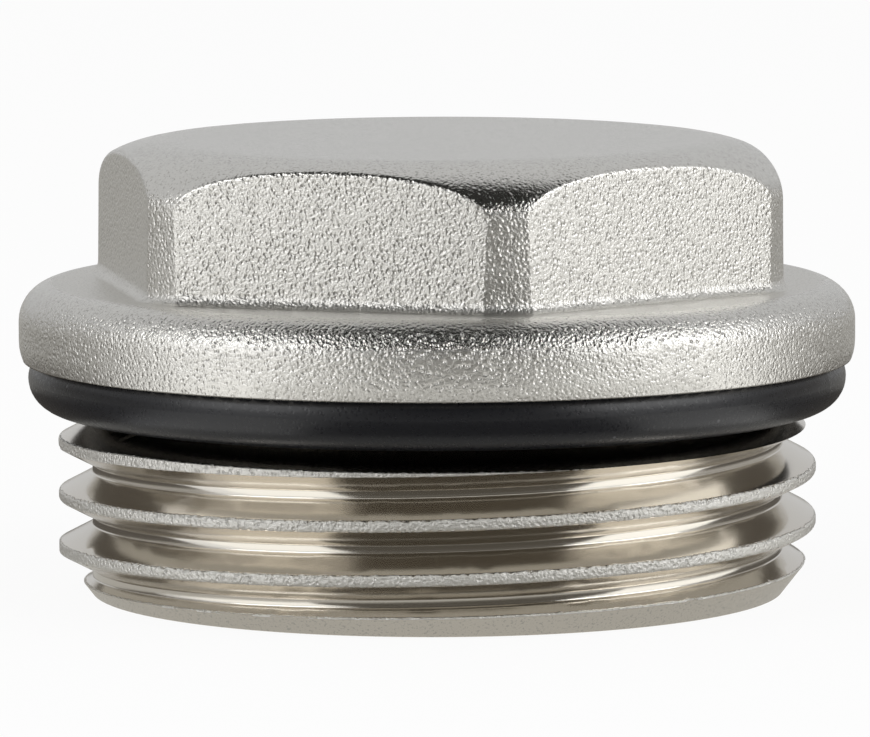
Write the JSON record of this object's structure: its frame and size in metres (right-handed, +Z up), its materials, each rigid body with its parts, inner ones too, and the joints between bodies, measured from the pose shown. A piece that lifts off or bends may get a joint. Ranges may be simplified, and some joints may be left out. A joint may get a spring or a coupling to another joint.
{
  "type": "manifold end plug",
  "caption": "Nickel-plated brass end plug for a heating manifold: hexagon head, round flange, rubber O-ring and a short male pipe thread with a hollow inside.",
  "frame": {"origin": "centre of the ring face at the thread end, which the plug stands on", "axes": "+Z up along the plug's axis from the thread end to the hexagon head, +X through a corner of the hexagon"},
  "size_m": [0.0366, 0.0366, 0.0199],
  "materials": {
    "nickel_plated_brass": "nickel plated, grit-blasted forging with a machined thread",
    "black_rubber": "satin moulded rubber"
  },
  "bodies": {
    "root": {"plug_body": "nickel_plated_brass", "o_ring": "black_rubber"}
  },
  "joints": []
}
